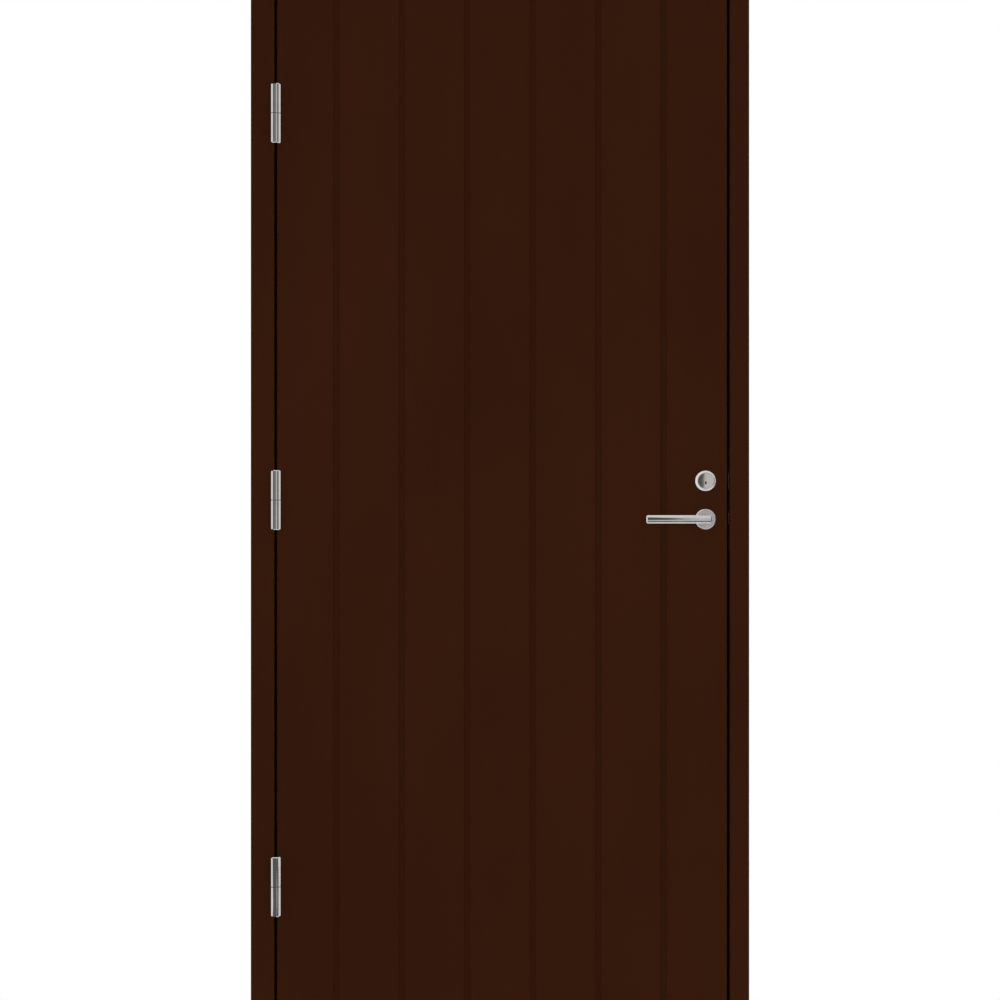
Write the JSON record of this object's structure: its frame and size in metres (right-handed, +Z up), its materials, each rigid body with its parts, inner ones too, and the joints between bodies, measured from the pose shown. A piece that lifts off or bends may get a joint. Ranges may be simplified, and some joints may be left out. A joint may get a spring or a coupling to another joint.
{
  "type": "shed door",
  "caption": "Left-hung shed door that opens outwards in a timber frame: a grooved brown leaf on lift-off hinges, with a round lock cylinder and lever handles.",
  "frame": {"origin": "on the underside of the threshold, at the middle of the frame's width and depth", "axes": "+X from the hinge side to the lock side, +Y from the outside to the inside, +Z up"},
  "size_m": [0.99, 0.158, 2.09],
  "materials": {
    "brown_paint": "satin",
    "oiled_oak": "satin",
    "stainless_steel": "satin",
    "aluminium_strip": "satin",
    "seal_rubber": "matte",
    "honeycomb_board": "matte",
    "nickel_brass": "satin"
  },
  "bodies": {
    "frame": {"hinge_jamb": "brown_paint", "lock_jamb": "brown_paint", "head_jamb": "brown_paint", "threshold": "oiled_oak", "threshold_strip": "aluminium_strip", "hinge_side_seal": "seal_rubber", "lock_side_seal": "seal_rubber", "head_seal": "seal_rubber", "threshold_seal": "seal_rubber", "strike_plate": "stainless_steel", "top_hinge_frame_half": "stainless_steel", "middle_hinge_frame_half": "stainless_steel", "bottom_hinge_frame_half": "stainless_steel", "hinge_washers": "stainless_steel"},
    "leaf": {"outer_skin": "brown_paint", "inner_skin": "brown_paint", "hinge_stile": "brown_paint", "lock_stile": "brown_paint", "bottom_rail": "brown_paint", "top_rail": "brown_paint", "leaf_core": "honeycomb_board", "top_hinge_leaf_half": "stainless_steel", "middle_hinge_leaf_half": "stainless_steel", "bottom_hinge_leaf_half": "stainless_steel", "mortise_lock": "stainless_steel", "lock_bolts": "nickel_brass", "cylinder_ring": "stainless_steel", "lock_cylinder": "stainless_steel", "cylinder_plug": "nickel_brass", "thumb_turn_rose": "stainless_steel", "thumb_turn": "stainless_steel", "outside_rose": "stainless_steel", "inside_rose": "stainless_steel"},
    "handle": {"outside_lever": "stainless_steel", "inside_lever": "stainless_steel", "spindle": "stainless_steel"}
  },
  "joints": [
    {"name": "door_swing", "type": "hinge", "parent": "frame", "child": "leaf", "pos_m": [-0.4446, -0.064, 1.045], "axis": [0, 0, -1], "range_deg": [0, 170]},
    {"name": "handle_turn", "type": "hinge", "parent": "leaf", "child": "handle", "pos_m": [0.4078, -0.0325, 1.007], "axis": [0, -1, 0], "range_deg": [0, 45], "stiffness_Nm_per_rad": 1.5, "springref_deg": -34.38}
  ]
}
